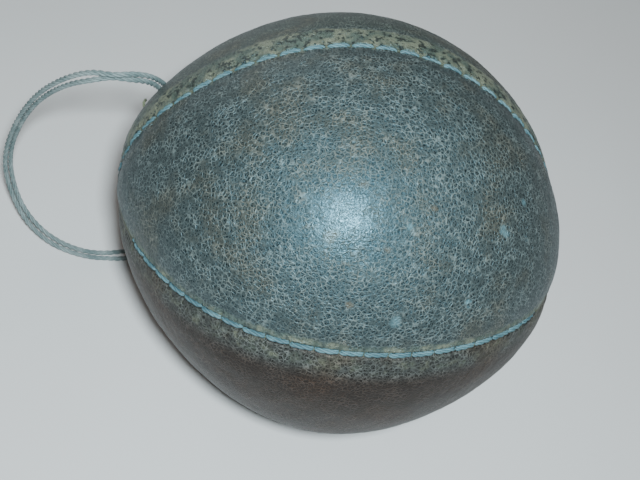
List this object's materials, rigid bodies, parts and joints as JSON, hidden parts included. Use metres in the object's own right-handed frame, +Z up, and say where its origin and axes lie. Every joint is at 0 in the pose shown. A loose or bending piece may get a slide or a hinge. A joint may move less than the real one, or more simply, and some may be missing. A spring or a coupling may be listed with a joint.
{
  "type": "medicine ball",
  "caption": "Old hand-sewn leather medicine ball: gores joined pole to pole with thick pale twine, and a doubled twine loop to hang it by.",
  "frame": {"origin": "middle of the flat on the underside, where the ball rests", "axes": "+X from pole to pole, away from the loop; +Z up; the large front upper gore faces -Y and up"},
  "size_m": [0.2807, 0.2, 0.198],
  "materials": {
    "leather": "dark slate brown leather, finely cracked, rubbed to a low shine",
    "twine": "pale blue-grey waxed twine",
    "canvas": "unbleached canvas",
    "washer_leather": "plain vegetable-tanned leather",
    "hair_packing": "matted hair and wool",
    "bag_canvas": "close-woven canvas",
    "sand": "dry sand"
  },
  "bodies": {
    "root": {"gore_front_upper": "leather", "gore_back_upper": "leather", "gore_back_lower": "leather", "gore_front_lower": "leather", "lining_front_upper": "canvas", "lining_back_upper": "canvas", "lining_back_lower": "canvas", "lining_front_lower": "canvas", "seam_thread_front": "twine", "seam_thread_top": "twine", "seam_thread_back": "twine", "seam_thread_bottom": "twine", "pole_knot_left": "twine", "pole_knot_right": "twine", "loop_knot": "twine", "loop_stop_knot": "twine", "loop_strand_outer": "twine", "loop_strand_inner": "twine", "loop_washer": "washer_leather", "packing_upper": "hair_packing", "packing_lower": "hair_packing", "sand_bag_upper": "bag_canvas", "sand_bag_lower": "bag_canvas", "sand_bag_tie": "twine", "sand_fill": "sand"}
  },
  "joints": []
}
